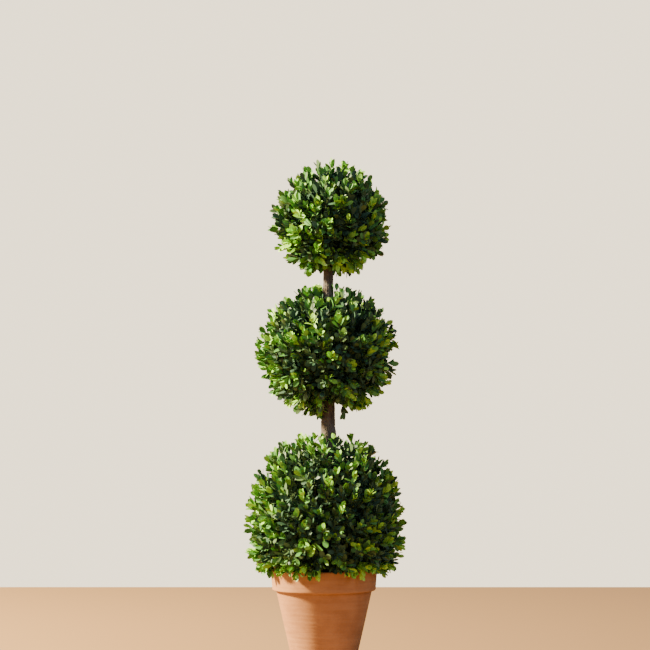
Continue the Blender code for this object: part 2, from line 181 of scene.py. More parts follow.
# Shoots: where they end and which way they point
STRAY = 0.0195  # how far the longest tips may stand out of the clipped surface
KEEP_CLEAR = 0.0015
DROOP = 0.024
FLOOR_GAP = 0.0025
SHOOT_STATIONS = 8
SHOOT_LENGTH = 0.045  # about, when a shoot picks its twig
LIFT = (0.0, 0.98)  # of the shoots below and above
LIFT_HEIGHTS = (-0.7, 0.6)  # between which it grows
AXIS_JITTER = 0.20
SURFACE_JITTER = 0.30
SURFACE_FLOOR = 0.985  # the share of the way to the surface that has to lie above the flat cut
SURFACE_DEPTH = 0.0088  # of the shoots' ends, least and then spread
SURFACE_SPREAD = 0.0094
LEAST_DEPTH = 0.0054
SWELL = 0.0108  # of the clumps that stand out of the surface
SWELL_WAVES = 24
SWELL_PITCH = FULL_TURN / 0.058
INNER_SHARE = 1.10  # more shoots that end inside, for each one that ends at the surface
INNER_REACH = (0.50, 0.84)
INNER_JITTER = 0.40
STRAY_SHARE = 0.08
STRAY_DEPTH = (0.0008, 0.0050)
SPRIG_DEPTH = 0.0026
SPRIG_LEAN = math.radians(12)  # of the side sprigs, towards the upright
SPRIG_LEAN_SPREAD = 0.5
SPRIG_PLANE_SPREAD = 0.10
RING_JITTER = 0.16
HEM_TURN = 0.4  # either way, of the step from one shoot to the next
HEM_RADII = (0.126, 0.150)
HEM_HEIGHTS = (-0.004, 0.015)  # above the rim's top
HEM_FALL = (0.05, 0.9)
CUSHION_RADII = (0.100, 0.126)
CUSHION_HEIGHTS = (0.010, 0.026)
CUSHION_FALL = (-0.5, 0.2)
HANGING = np.radians((-96, -117, -52, -18, 24, 71, 118, 163, 205))  # round the rim from the right
HANGING_RADIUS = 0.139
HANGING_HEIGHT = -0.003
HANGING_FALL = 3.0
SLOT_PAIRS = 4  # of leaves on a sprig that hangs in a slot, with its twig bare above them
SLOT_WAY = (-0.22, 0.0, -1.0)

# Leaves: crossed pairs along each shoot
LEAF_LENGTH = 0.024
LEAF_SIZES = (0.80, 1.12)  # of that length
LEAF_BREADTH = 0.50  # of its length
LEAF_BREADTHS = (0.88, 1.12)  # of that breadth
LEAF_STATIONS = np.array((0.15, 0.40, 0.66, 0.87))
LEAF_FULLNESS = 0.6
LEAF_SHOULDER = 1.45  # over 1, the leaf is widest past its middle
LEAF_BEND = (-0.06, 0.09)  # of the tip out of the leaf's plane, mean and spread
LEAF_FOLD = (0.16, 0.16)  # of the halves at the rib, mean and spread
LEAF_TWIST = 0.42
LEAF_TURN = 0.30
LEAF_STAND = 0.0005  # of its base off the shoot's middle
PAIR_SPACING = (0.0060, 0.0098)  # at the tip and lower down
SPACING_CHANGE = (0.85, 1.2)
FIRST_PAIR = 0.0005  # below the shoot's tip
BARE_ROOT = 0.004  # of each shoot
OPENINGS = np.radians((10, 21, 32, 41, 50, 57, 62))  # of the pairs, from the tip down
OPENING_CHANGE = math.radians(10)
YOUNG_SIZES = (0.76, 0.94, 1.0)  # of the pairs nearest the tip

# Leaf tints, from the darkest, which also paints shade on leaves deep inside, to the newest growth, and how
# often a shoot has each
TINTS = {
    "deep": (0.034, 0.076, 0.042),
    "olive": (0.072, 0.127, 0.048),
    "mid": (0.072, 0.199, 0.043),
    "fresh": (0.164, 0.362, 0.046),
    "lime": (0.305, 0.553, 0.064),
}
TINT_SHARES = (0.12, 0.15, 0.39, 0.27, 0.07)
LOWEST_TINT_SHARES = (0.07, 0.10, 0.42, 0.34, 0.07)  # of the lowest ball, which is fresher
# Painted shade: over these depths inside the ball, leaf tints step darker
SHADE_DEPTHS = (0.014, 0.038)  # over which the tints go deeper
SHADE_STEPS = 2.0
SHADE_SPREAD = 0.5
FRESHER_SHARE = 0.42  # of the youngest leaves


@dataclass(frozen=True)
class Ball:
    """A clipped ball that rises and drops from its widest part, squarer where its powers are over 2."""

    name: str
    centre: tuple
    half_width: float
    rise: float
    drop: float
    boughs: int
    branches: int
    twigs: int
    shoots: int
    sprigs: tuple  # angles of those that stand out of the outline seen from the front
    upper_power: float = 2.0
    lower_power: float = 2.0
    floor: float | None = None  # the height at which the ball is cut flat
    hem_shoots: int = 0
    leaf_size: float = 1.0
    tint_shares: tuple = TINT_SHARES
    slot: tuple = ()  # left, right and top of the open slot under the ball, beside the trunk
    slot_sprigs: tuple = ()  # where sprigs end that hang in the slot, from the centre


# Sprigs seen in the photograph, in degrees round from the right
TOP_SPRIGS = (-2, 22, 36, 50, 59, 77, 89, 101, 115, 132, 147, 163, 182, 203, 222, 242, 291, 302, 331)
MIDDLE_SPRIGS = (
    5, 12, 24, 36, 49, 60, 81, 98, 110, 115, 128, 145, 162, 172,
    183, 202, 218, 251, 263, 299, 309, 323, 332, 342,
)
BOTTOM_SPRIGS = (
    1, 11, 22, 33, 46, 58, 64, 73, 82, 97, 106, 119, 131, 145, 166, 175,
    184, 201, 216, 328, 337, 348,
)

BALLS = (
    Ball(
        "foliage_top",
        centre=(0.0151, 0, 1.034),
        half_width=0.13,
        rise=0.1445,
        drop=0.1115,
        boughs=14,
        branches=46,
        twigs=180,
        shoots=320,
        sprigs=TOP_SPRIGS,
        leaf_size=1.08,
    ),
    Ball(
        "foliage_middle",
        centre=(0.0062, 0, 0.742),
        half_width=0.1585,
        rise=0.147,
        drop=0.1475,
        boughs=18,
        branches=62,
        twigs=240,
        shoots=470,
        sprigs=MIDDLE_SPRIGS,
        slot=(0.012, 0.0465, 0.612),
        slot_sprigs=((0.0405, -0.012, -0.1442),),
    ),
    Ball(
        "foliage_bottom",
        centre=(0.0025, 0, 0.335),
        half_width=0.1778,
        rise=0.211,
        drop=0.132,
        boughs=20,
        branches=70,
        twigs=280,
        shoots=620,
        sprigs=BOTTOM_SPRIGS,
        upper_power=2.25,
        lower_power=3.3,
        floor=POT_HEIGHT + FLOOR_GAP,
        hem_shoots=78,
        tint_shares=LOWEST_TINT_SHARES,
    ),
)


def unit(vectors):
    """Each vector divided by its length."""
    return vectors / np.linalg.norm(vectors, axis=-1, keepdims=True)


def arc(centre, radius, start, end, points):
    """Points on a circle's arc in the profile's plane: centre plus radius times cosine and sine."""
    angle = np.radians(np.linspace(start, end, points))
    return centre + radius * np.stack((np.cos(angle), np.sin(angle)), axis=1)


def subdivided(profile, step):
    """The closed profile with points added so that none are further apart than the step."""
    ahead = np.roll(profile, -1, axis=0)
    counts = np.maximum(1, np.ceil(np.linalg.norm(ahead - profile, axis=1) / step).astype(int))
    runs = []
    for here, there, count in zip(profile, ahead, counts):
        share = np.arange(count)[:, None] / count
        runs.append(here + (there - here) * share)
    return np.concatenate(runs)


def turns_round(count):
    """Angles evenly round a full turn, as one row."""
    return np.linspace(0, FULL_TURN, count, endpoint=False)[None, :]


def waves(around, along, draw, family):
    """A sum of cosines of whole turns round and random pitches along, scaled to about one."""
    total = np.zeros(np.broadcast(around, along).shape)
    for _ in range(family.count):
        turn = draw.integers(family.turns[0], family.turns[1] + 1)
        pitch = draw.uniform(*family.pitches) * draw.choice((-1, 1))
        total += np.cos(turn * around + pitch * along + draw.uniform(0, FULL_TURN))
    return total / math.sqrt(family.count / 2)


def grid_faces(rows, columns, closed_rows=False, closed_columns=True):
    """Quads over a grid of points numbered row by row, closed round either way if asked."""
    row = np.arange(rows if closed_rows else rows - 1)[:, None]
    column = np.arange(columns if closed_columns else columns - 1)[None, :]
    next_row = (row + 1) % rows
    next_column = (column + 1) % columns
    corners = (
        row * columns + column,
        row * columns + next_column,
        next_row * columns + next_column,
        next_row * columns + column,
    )
    return np.stack([corner.ravel() for corner in np.broadcast_arrays(*corners)], axis=1)


def ring_points(around, radius, height):
    """A grid of points from cylinder coordinates: radius times cosine and sine of the turn, and height."""
    return np.stack(np.broadcast_arrays(radius * np.cos(around), radius * np.sin(around), height), axis=-1)


def fan(ring, middle, turned=False):
    """Triangles from each step of a closed ring of point numbers to the middle's, turned over if asked."""
    ahead = np.roll(ring, -1)
    edge = (ahead, ring) if turned else (ring, ahead)
    return np.stack((*edge, np.full_like(ring, middle)), axis=1)


def caps(rows, columns, turned=False):
    """Triangles that close a grid at its first and last row, to the two points numbered after it."""
    first = np.arange(columns)
    count = rows * columns
    last = first + count - columns
    return np.concatenate((fan(first, count, not turned), fan(last, count + 1, turned)))


def repeated(faces, each, count):
    """The faces of one shape, moved on by its number of points for each further copy."""
    return (faces[None] + each * np.arange(count)[:, None, None]).reshape(-1, faces.shape[1])


def new_object(name, data):
    """An object in the scene with this data."""
    made = bpy.data.objects.new(name, data)
    bpy.context.scene.collection.objects.link(made)
    return made


def piece(name, points, faces, finish, replaced=None):
    """A piece of the object from its points and arrays of faces, riding on the root body."""
    mesh = bpy.data.meshes.new(name)
    corners = np.concatenate([group.ravel() for group in faces]).astype(np.int32)
    sizes = np.concatenate([np.full(len(group), group.shape[1]) for group in faces])
    starts = np.concatenate(([0], np.cumsum(sizes)[:-1])).astype(np.int32)
    points = points.reshape(-1, 3).astype(np.float32)
    mesh.vertices.add(len(points))
    mesh.vertices.foreach_set("co", points.ravel())
    mesh.loops.add(len(corners))
    mesh.loops.foreach_set("vertex_index", corners)
    mesh.polygons.add(len(sizes))
    mesh.polygons.foreach_set("loop_start", starts)
    mesh.update(calc_edges=True)
    mesh.shade_smooth()
    mesh.materials.append(finish)
    made = new_object(name, mesh)
    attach(made, "root")
    if replaced:
        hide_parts(replaced)
    return made


def keep_values(made, name, values):
    """Stores a number for each point, for the material to read."""
    attribute = made.data.attributes.new(name, "FLOAT", "POINT")
    attribute.data.foreach_set("value", values.astype(np.float32).ravel())


def mottle_group():
    """Soft patches: layered noise at a scale, stretched to run from nothing to full between two levels."""
    tree = bpy.data.node_groups.new("Mottle", "ShaderNodeTree")
    face = tree.interface
    face.new_socket("Vector", in_out="INPUT", socket_type="NodeSocketVector")
    for name in ("Scale", "Low", "High"):
        face.new_socket(name, in_out="INPUT", socket_type="NodeSocketFloat")
    face.new_socket("Mask", in_out="OUTPUT", socket_type="NodeSocketFloat")
    given = tree.nodes.new("NodeGroupInput")
    result = tree.nodes.new("NodeGroupOutput")
    noise = tree.nodes.new("ShaderNodeTexNoise")
    noise.inputs["Detail"].default_value = 5
    noise.inputs["Roughness"].default_value = 0.6
    spread = tree.nodes.new("ShaderNodeMapRange")
    links = (
        (given, "Vector", noise, "Vector"),
        (given, "Scale", noise, "Scale"),
        (noise, "Fac", spread, "Value"),
        (given, "Low", spread, "From Min"),
        (given, "High", spread, "From Max"),
        (spread, "Result", result, "Mask"),
    )
    for start, output, end, socket in links:
        tree.links.new(start.outputs[output], end.inputs[socket])
    return tree


class Finish:
    """A material with its Principled shader and short ways to add to it."""

    def __init__(self, name, roughness, specular=0.5):
        self.material = bpy.data.materials.new(name)
        self.material.use_nodes = True
        self.nodes = self.material.node_tree.nodes
        self.links = self.material.node_tree.links
        self.shader = self.nodes["Principled BSDF"]
        self.shader.inputs["Roughness"].default_value = roughness
        self.shader.inputs["Specular IOR Level"].default_value = specular

    def place(self, stretch=(1, 1, 1)):
        """Object coordinates, scaled along each axis."""
        source = self.nodes.new("ShaderNodeTexCoord")
        mapping = self.nodes.new("ShaderNodeMapping")
        mapping.inputs["Scale"].default_value = stretch
        self.links.new(source.outputs["Object"], mapping.inputs["Vector"])
        return mapping.outputs["Vector"]

    def mottle(self, vector, scale, low, high):
        """A patch mask from the shared group."""
        node = self.nodes.new("ShaderNodeGroup")
        node.node_tree = MOTTLE
        self.links.new(vector, node.inputs["Vector"])
        node.inputs["Scale"].default_value = scale
        node.inputs["Low"].default_value = low
        node.inputs["High"].default_value = high
        return node.outputs["Mask"]

    def attribute(self, name, low, high):
        """The piece's own value, stretched between two levels."""
        source = self.nodes.new("ShaderNodeAttribute")
        source.attribute_name = name
        return self.spread(source.outputs["Fac"], "From", low, high)

    def spread(self, value, end, low, high):
        """A value spread from, or to, the range between low and high."""
        node = self.nodes.new("ShaderNodeMapRange")
        node.inputs[f"{end} Min"].default_value = low
        node.inputs[f"{end} Max"].default_value = high
        self.links.new(value, node.inputs["Value"])
        return node.outputs["Result"]

    def fill(self, socket, colour):
        """Gives a socket a plain colour, or one from another node."""
        if isinstance(colour, tuple):
            socket.default_value = (*colour, 1)
        else:
            self.links.new(colour, socket)

    def scaled(self, value, factor, added=None):
        """A value times a factor, plus another value if there is one."""
        node = self.nodes.new("ShaderNodeMath")
        node.operation = "MULTIPLY_ADD"
        node.inputs[1].default_value = factor
        node.inputs[2].default_value = 0
        self.links.new(value, node.inputs[0])
        if added is not None:
            self.links.new(added, node.inputs[2])
        return node.outputs[0]

    def mix(self, mask, first, second, amount=1.0):
        """The second colour over the first where the mask is, up to the amount."""
        node = self.nodes.new("ShaderNodeMix")
        node.data_type = "RGBA"
        self.links.new(self.scaled(mask, amount), node.inputs["Factor"])
        self.fill(node.inputs["A"], first)
        self.fill(node.inputs["B"], second)
        return node.outputs["Result"]

    def colour(self, value):
        """The finished base colour, plain or from the nodes."""
        self.fill(self.shader.inputs["Base Color"], value)

    def roughness(self, mask, low, high):
        """Roughness that follows a mask between two values."""
        self.links.new(self.spread(mask, "To", low, high), self.shader.inputs["Roughness"])

    def relief(self, heights, distance, strength=1.0):
        """Fine relief from the sum of masks with their weights."""
        total = None
        for mask, weight in heights:
            total = self.scaled(mask, weight, total)
        bump = self.nodes.new("ShaderNodeBump")
        bump.inputs["Distance"].default_value = distance
        bump.inputs["Strength"].default_value = strength
        self.links.new(total, bump.inputs["Height"])
        self.links.new(bump.outputs["Normal"], self.shader.inputs["Normal"])


def clay_finish():
    """Unglazed clay: soft blotches, faint turning streaks, dark and pale grains, and a pale salt bloom."""
    clay = Finish("terracotta", 0.82, specular=0.3)
    place = clay.place()
    streaks = clay.place(stretch=(1, 1, 9))
    blotch = clay.mottle(place, scale=16, low=0.36, high=0.66)
    streak = clay.mottle(streaks, scale=9, low=0.40, high=0.66)
    grain = clay.mottle(place, scale=620, low=0.56, high=0.74)
    pale_grain = clay.mottle(place, scale=410, low=0.60, high=0.78)
    bloom = clay.mottle(place, scale=34, low=0.58, high=0.80)
    colour = clay.mix(blotch, (0.270, 0.116, 0.041), (0.338, 0.152, 0.058))
    colour = clay.mix(streak, colour, (0.440, 0.218, 0.096), amount=0.30)
    colour = clay.mix(grain, colour, (0.19, 0.078, 0.036), amount=0.45)
    colour = clay.mix(pale_grain, colour, (0.56, 0.33, 0.165), amount=0.20)
    colour = clay.mix(bloom, colour, (0.58, 0.36, 0.19), amount=0.05)
    clay.colour(colour)
    clay.roughness(blotch, 0.88, 0.74)
    clay.relief(((grain, -0.5), (streak, 0.8), (blotch, 0.5)), distance=0.0004, strength=0.6)
    return clay.material


def bark_finish():
    """Old bark: grey ridges, brown furrows, lichen-pale patches and fine fibres."""
    bark = Finish("bark", 0.85, specular=0.25)
    place = bark.place()
    fibres = bark.place(stretch=(1, 1, 0.16))
    ridge = bark.attribute("relief", low=-0.0012, high=0.0008)
    patch = bark.mottle(place, scale=55, low=0.42, high=0.62)
    fibre = bark.mottle(fibres, scale=420, low=0.38, high=0.66)
    fleck = bark.mottle(place, scale=260, low=0.58, high=0.70)
    colour = bark.mix(ridge, (0.022, 0.0115, 0.0056), (0.128, 0.098, 0.076))
    colour = bark.mix(patch, colour, (0.130, 0.119, 0.112), amount=0.50)
    colour = bark.mix(fibre, colour, (0.045, 0.032, 0.024), amount=0.55)
    colour = bark.mix(fleck, colour, (0.183, 0.168, 0.154), amount=0.35)
    bark.colour(colour)
    bark.roughness(patch, 0.90, 0.78)
    bark.relief(((fibre, -0.8), (fleck, 0.4)), distance=0.0005, strength=0.8)
    return bark.material


def soil_finish():
    """Moist potting soil: near-black lumps with brown fibres and pale grains."""
    soil = Finish("soil", 0.95, specular=0.2)
    place = soil.place()
    patch = soil.mottle(place, scale=70, low=0.40, high=0.64)
    grain = soil.mottle(place, scale=480, low=0.60, high=0.70)
    colour = soil.mix(patch, (0.022, 0.014, 0.009), (0.060, 0.038, 0.024))
    colour = soil.mix(grain, colour, (0.16, 0.12, 0.09), amount=0.6)
    soil.colour(colour)
    soil.roughness(patch, 0.80, 0.97)
    soil.relief(((patch, 1.0), (grain, 0.6)), distance=0.001)
    return soil.material


def plain_finish(name, colour, roughness, specular):
    """A waxy leaf or a stem in one plain colour."""
    finish = Finish(name, roughness, specular)
    finish.colour(colour)
    return finish.material


def plant_finishes():
    """The plant's finishes by name: each leaf tint, bark, young wood and green shoots."""
    leaves = {name: plain_finish("leaf_" + name, tint, 0.45, 0.15) for name, tint in TINTS.items()}
    twig = plain_finish("twig_wood", (0.11, 0.085, 0.05), 0.75, 0.3)
    shoot = plain_finish("shoot_green", (0.10, 0.14, 0.035), 0.55, 0.3)
    return {**leaves, "bark": bark_finish(), "twig": twig, "shoot": shoot}


def pot_wall_radius(height):
    """The outer radius of the pot's tapered body, below its rim."""
    return BODY_TOP_RADIUS - TAPER * (POT_HEIGHT - RIM_HEIGHT - height)


def pot_profile():
    """From the rim's top, down the outside, across the foot to the drain hole, and up the inside."""
    rim_foot = POT_HEIGHT - RIM_HEIGHT
    foot = pot_wall_radius(0)
    inner_foot = pot_wall_radius(FLOOR_THICKNESS) - WALL
    inner_top = pot_wall_radius(POT_HEIGHT) - WALL
    wide = RIM_ROUNDING
    small = FOOT_ROUNDING
    least = small / 2
    corners = (
        arc((RIM_RADIUS - wide, POT_HEIGHT - wide), wide, 90, 0, 9),
        arc((RIM_FOOT_RADIUS - wide, rim_foot + wide), wide, 0, -90, 9),
        arc((BODY_TOP_RADIUS + wide / 2, rim_foot - wide / 2), wide / 2, 90, 180, 5),
        arc((foot - small, small), small, -TAPER_DEGREES, -90, 6),
        arc((DRAIN_RADIUS + least, least), least, -90, -180, 4),
        arc((DRAIN_RADIUS + least, FLOOR_THICKNESS - least), least, 180, 90, 4),
        arc((inner_foot - small, FLOOR_THICKNESS + small), small, -90, 0, 5),
        arc((inner_top + wide, POT_HEIGHT - wide), wide, 180, 90, 7),
    )
    return np.concatenate(corners)


def make_pot(draw):
    """The turned pot: its profile carried round Z, with shallow throwing rings and a slight wobble."""
    profile = subdivided(pot_profile(), PROFILE_STEP)
    around = turns_round(POT_SEGMENTS)
    radius = profile[:, :1]
    height = profile[:, 1:]
    outside = radius > pot_wall_radius(height) - WALL / 2
    rings = np.sin(FULL_TURN * height / THROWING_PITCH) + waves(0 * around, height, draw, THROWING_WAVES)
    wobble = waves(around, height, draw, WOBBLE_WAVES)
    relief = (THROWING_DEPTH * rings - POT_INSET * (1 + WOBBLE_SHARE * wobble)) * outside
    points = ring_points(around, radius + relief * (height > FOOT_ROUNDING), height)
    faces = grid_faces(len(profile), POT_SEGMENTS, closed_rows=True)[:, ::-1]
    piece("clay_pot", points, [faces], clay_finish(), "pot")


def make_soil(draw, finish):
    """The soil: rings from the middle out, made lumpy by summed waves, then down to a flat underside."""
    around = turns_round(SOIL_SEGMENTS)
    share = np.linspace(SOIL_FIRST_RING, 1, SOIL_RINGS)[:, None]
    radius = (SOIL_HIGH.x - SOIL_EDGE_GAP) * share
    lumps = waves(around, radius, draw, LUMP_WAVES) + waves(around, radius, draw, GRIT_WAVES)
    top = SOIL_HIGH.z - SOIL_EDGE_DROP * share**3 - SOIL_LUMP * (0.5 + 0.5 * np.tanh(lumps))
    bottom_radius = pot_wall_radius(SOIL_LOW.z) - WALL - FOOT_ROUNDING
    radius = np.concatenate((radius, [[bottom_radius], [bottom_radius / 2]]))
    height = np.concatenate((top, np.full((2, SOIL_SEGMENTS), SOIL_LOW.z)))
    points = ring_points(around, radius, height).reshape(-1, 3)
    middle = np.array([[0, 0, top[0].mean()], [0, 0, SOIL_LOW.z]])
    walls = grid_faces(len(radius), SOIL_SEGMENTS)[:, ::-1]
    ends = caps(len(radius), SOIL_SEGMENTS, turned=True)
    piece("soil_bed", np.concatenate((points, middle)), [walls, ends], finish, "soil")


def crumb_shape():
    """An icosahedron of unit radius: two rings of five corners, half a step apart, and two poles."""
    around = np.arange(5) * FULL_TURN / 5
    flat = 2 / math.sqrt(5)
    rise = 1 / math.sqrt(5)
    upper = ring_points(around, flat, rise)
    lower = ring_points(around + math.pi / 5, flat, -rise)
    corners = np.concatenate((upper, lower, [UP, -UP]))
    here = np.arange(5)
    ahead = (here + 1) % 5
    band = np.stack((here, here + 5, ahead), axis=1)
    other_band = np.stack((here + 5, ahead + 5, ahead), axis=1)
    bottom = fan(here + 5, 11, turned=True)
    return corners, np.concatenate((fan(here, 10), band, other_band, bottom))


def make_crumbs(draw, finish):
    """Loose crumbs on the soil, each a squashed icosahedron of its own size and turn."""
    corners, faces = crumb_shape()
    edge = SOIL_HIGH.x - CRUMB_ROOM
    free = FOOT_RADIUS + FLARE + CRUMB_ROOM
    radius = np.sqrt(draw.uniform(free**2, edge**2, CRUMBS))
    around = draw.uniform(0, FULL_TURN, CRUMBS)
    size = draw.uniform(*CRUMB_SIZES, CRUMBS)
    squash = draw.uniform(*CRUMB_SQUASH, (CRUMBS, 1, 3))
    ragged = 1 + draw.uniform(-CRUMB_RAGGEDNESS, CRUMB_RAGGEDNESS, (CRUMBS, len(corners), 1))
    height = SOIL_HIGH.z - SOIL_EDGE_DROP * (radius / SOIL_HIGH.x) ** 3
    middle = ring_points(around, radius, height)
    points = middle[:, None] + corners * squash * ragged * size[:, None, None]
    piece("soil_crumbs", points, [repeated(faces, len(corners), CRUMBS)], finish)


def burl(height):
    """A small swelling where a side shoot was once cut away: a bell curve over the height."""
    return BURL_SIZE * np.exp(-(((height - BURL_HEIGHT) / BURL_SPREAD) ** 2))


def trunk_centre(height):
    """The trunk's middle: upright at its foot, then a lean plus half a sine across, and a sine in depth."""
    start = TRUNK_FOOT + STRAIGHT_FOOT
    along = np.maximum(0.0, (height - start) / (TRUNK_TIP - start))
    x = TRUNK_X + TRUNK_LEAN * along + TRUNK_BOW * np.sin(np.pi * along) + burl(height)
    y = TRUNK_SWAY * np.sin(FULL_TURN * TRUNK_SWAYS * along)
    return np.stack((x, y, height), axis=-1)


def trunk_radius(height):
    """An even taper plus a flare that fades up from the soil, rounded off at the tip."""
    along = (height - TRUNK_FOOT) / (TRUNK_TIP - TRUNK_FOOT)
    taper = FOOT_RADIUS + (TIP_RADIUS - FOOT_RADIUS) * along
    flare = FLARE * np.exp(-(height - TRUNK_FOOT) / FLARE_HEIGHT)
    rounding = TIP_BLUNTNESS + (1 - TIP_BLUNTNESS) * (TRUNK_TIP - height) / TIP_ROUNDING
    return (taper + flare + burl(height)) * np.minimum(1.0, rounding)


def bark_relief(around, height, draw):
    """Furrows where summed waves fold through nothing, and small patches, shallower where it is thin."""
    long_folds = waves(around, height, draw, FOLD_WAVES)
    plates = waves(around, height, draw, PLATE_WAVES)
    furrows = RIDGE_LEVEL - np.abs(long_folds) ** FOLD_POWER * FOLD_DEPTH
    furrows = furrows - np.abs(plates) ** PLATE_POWER * PLATE_DEPTH
    patches = waves(around, height, draw, PATCH_WAVES)
    relief = BARK_FURROW * furrows + BARK_PATCH * patches
    ends = np.minimum(1, np.minimum(height - TRUNK_FOOT, TRUNK_TIP - height) / BARK_FADE)
    thickness = THIN_BARK + (1 - THIN_BARK) * trunk_radius(height) / FOOT_RADIUS
    return np.clip(relief + BARK_RAISE, *BARK_LIMITS) * ends * thickness


def make_trunk(draw, finish):
    """The trunk: rings round its leaning middle, each point further out by the bark's relief."""
    around = turns_round(BARK_SEGMENTS)
    height = np.linspace(TRUNK_FOOT, TRUNK_TIP, BARK_STATIONS)[:, None]
    relief = bark_relief(around, height, draw)
    centre = trunk_centre(height[:, 0])[:, None]
    grid = centre + ring_points(around, trunk_radius(height) + relief, 0 * height)
    points = np.concatenate((grid.reshape(-1, 3), centre[0], centre[-1]))
    faces = [grid_faces(BARK_STATIONS, BARK_SEGMENTS), caps(BARK_STATIONS, BARK_SEGMENTS)]
    made = piece("trunk_bark", points, faces, finish, "trunk")
    keep_values(made, "relief", np.concatenate((relief.ravel(), (0, 0))))


def surface_distance(ball, way):
    """From the centre to the clipped surface, where powers of the shares across and upright add to one."""
    above = way[..., 2] >= 0
    power = np.where(above, ball.upper_power, ball.lower_power)
    across = np.hypot(way[..., 0], way[..., 1]) / ball.half_width
    upright = np.abs(way[..., 2]) / np.where(above, ball.rise, ball.drop)
    return (across**power + upright**power) ** (-1 / power)


def depth_inside(ball, points):
    """How far points lie inside the clipped surface, along the way from the centre."""
    offset = points - ball.centre
    distance = np.linalg.norm(offset, axis=-1)
    return surface_distance(ball, offset / distance[..., None]) - distance


def even_cover(count, draw, jitter):
    """Directions spaced evenly over a sphere: equal steps down, and a golden angle round at each."""
    number = np.arange(count)
    rise = 1 - 2 * (number + 0.5) / count
    level = np.sqrt(1 - rise**2)
    way = ring_points(number * GOLDEN_ANGLE, level, rise)
    spacing = math.sqrt(4 * math.pi / count)
    return unit(way + draw.normal(0, jitter * spacing, way.shape))


def above_floor(ball, way, share):
    """Whether this share of the way to the surface ends above the flat cut over the pot."""
    if ball.floor is None:
        return np.ones(len(way), bool)
    height = ball.centre[2] + way[:, 2] * surface_distance(ball, way) * share
    return height > ball.floor


def is_clear(ball, points):
    """Whether points stay in the ball's reach and off the trunk and the pot."""
    within = depth_inside(ball, points) > -STRAY
    height = points[..., 2]
    beside = np.linalg.norm(points[..., :2] - trunk_centre(height)[..., :2], axis=-1)
    off_trunk = (height > TRUNK_TIP + KEEP_CLEAR) | (beside > trunk_radius(height) + KEEP_CLEAR)
    over_pot = np.linalg.norm(points[..., :2], axis=-1) < RIM_RADIUS + KEEP_CLEAR
    lowest = np.where(over_pot, POT_HEIGHT + KEEP_CLEAR, POT_HEIGHT - DROOP)
    return within & off_trunk & (height > lowest)


def in_slot(ball, points):
    """Whether points lie in the open slot under the ball, which runs through from front to back."""
    if not ball.slot:
        return np.zeros(points.shape[:-1], bool)
    left, right, top = ball.slot
    return (points[..., 0] > left) & (points[..., 0] < right) & (points[..., 2] < top)


def nearest(points, others):
    """For each point, the number of the closest other point."""
    return np.linalg.norm(points[:, None] - others[None], axis=2).argmin(axis=1)


def curves(start, start_way, end, end_way, stations):
    """Cubic curves that leave each start and reach each end in the given directions."""
    third = np.linalg.norm(end - start, axis=1)[:, None] / 3
    handles = (start, start + start_way * third, end - end_way * third, end)
    share = np.linspace(0, 1, stations)[None, :, None]
    rest = 1 - share
    weights = (rest**3, 3 * rest**2 * share, 3 * rest * share**2, share**3)
    return sum(weight * handle[:, None] for weight, handle in zip(weights, handles))


def guide_beside(way):
    """The upright, or the sideways direction for a way that is nearly upright itself."""
    return np.where(np.abs(way[..., 2:]) < NEARLY_UPRIGHT, UP, SIDEWAYS)


def square_to(way):
    """Two directions square to each way and to each other."""
    first = unit(np.cross(way, guide_beside(way)))
    return first, np.cross(way, first)


def tubes(paths, root, tip, sides):
    """Tapering tubes: a ring square to the path at each station, and one point to close each end."""
    count, stations = paths.shape[:2]
    radii = root + (tip - root) * np.linspace(0, 1, stations)
    along = unit(np.gradient(paths, axis=1))
    first = unit(np.cross(along, guide_beside(along[:, :1])))
    second = np.cross(along, first)
    turn = np.arange(sides) * FULL_TURN / sides
    spokes = first[:, :, None] * np.cos(turn)[:, None] + second[:, :, None] * np.sin(turn)[:, None]
    rings = paths[:, :, None] + radii[:, None, None] * spokes
    ends = np.stack((paths[:, 0], paths[:, -1]), axis=1)
    points = np.concatenate((rings.reshape(count, -1, 3), ends), axis=1)
    shapes = (grid_faces(stations, sides), caps(stations, sides))
    return points, [repeated(faces, points.shape[1], count) for faces in shapes]


def bough_starts(ball, end):
    """Where boughs leave the trunk, a little below their ends, and the way they set out."""
    height = end[:, 2] - BOUGH_RISE - BOUGH_STEEPNESS * np.abs(end[:, 2] - ball.centre[2])
    height = np.clip(height, ball.floor or 0, TRUNK_TIP - BOUGH_TOP_ROOM)
    middle = trunk_centre(height)
    outward = unit((end - middle) * (1, 1, 0))
    start = middle + outward * (trunk_radius(height) * BOUGH_ROOT)[:, None]
    return start, unit(outward + UP * BOUGH_LIFT)


def grow_wood(ball, draw):
    """Boughs from the trunk, then branches and twigs, each from the nearest end of the kind before."""
    grown = []
    for count, share in zip((ball.boughs, ball.branches, ball.twigs), WOOD_ENDS):
        way = even_cover(count, draw, WOOD_JITTER)
        way = way[above_floor(ball, way, share)]
        reach = surface_distance(ball, way) * share * draw.uniform(*WOOD_REACH, len(way))
        end = ball.centre + way * reach[:, None]
        if grown:
            parent = nearest(end, tips)
            start = tips[parent]
            start_way = tip_ways[parent]
        else:
            start, start_way = bough_starts(ball, end)
        tips = end
        tip_ways = unit(unit(end - start) + way * WOOD_OUTWARD + UP * WOOD_UPWARD)
        grown.append(curves(start, start_way, tips, tip_ways, WOOD_STATIONS))
    return grown


def swells(points, draw):
    """Clumps: a sum of cosines of waves that cross the points in all directions, scaled to about one."""
    crossing = unit(draw.normal(size=(SWELL_WAVES, 3))) * SWELL_PITCH
    phase = draw.uniform(0, FULL_TURN, SWELL_WAVES)
    return np.cos(points @ crossing.T + phase).sum(axis=1) / math.sqrt(SWELL_WAVES / 2)


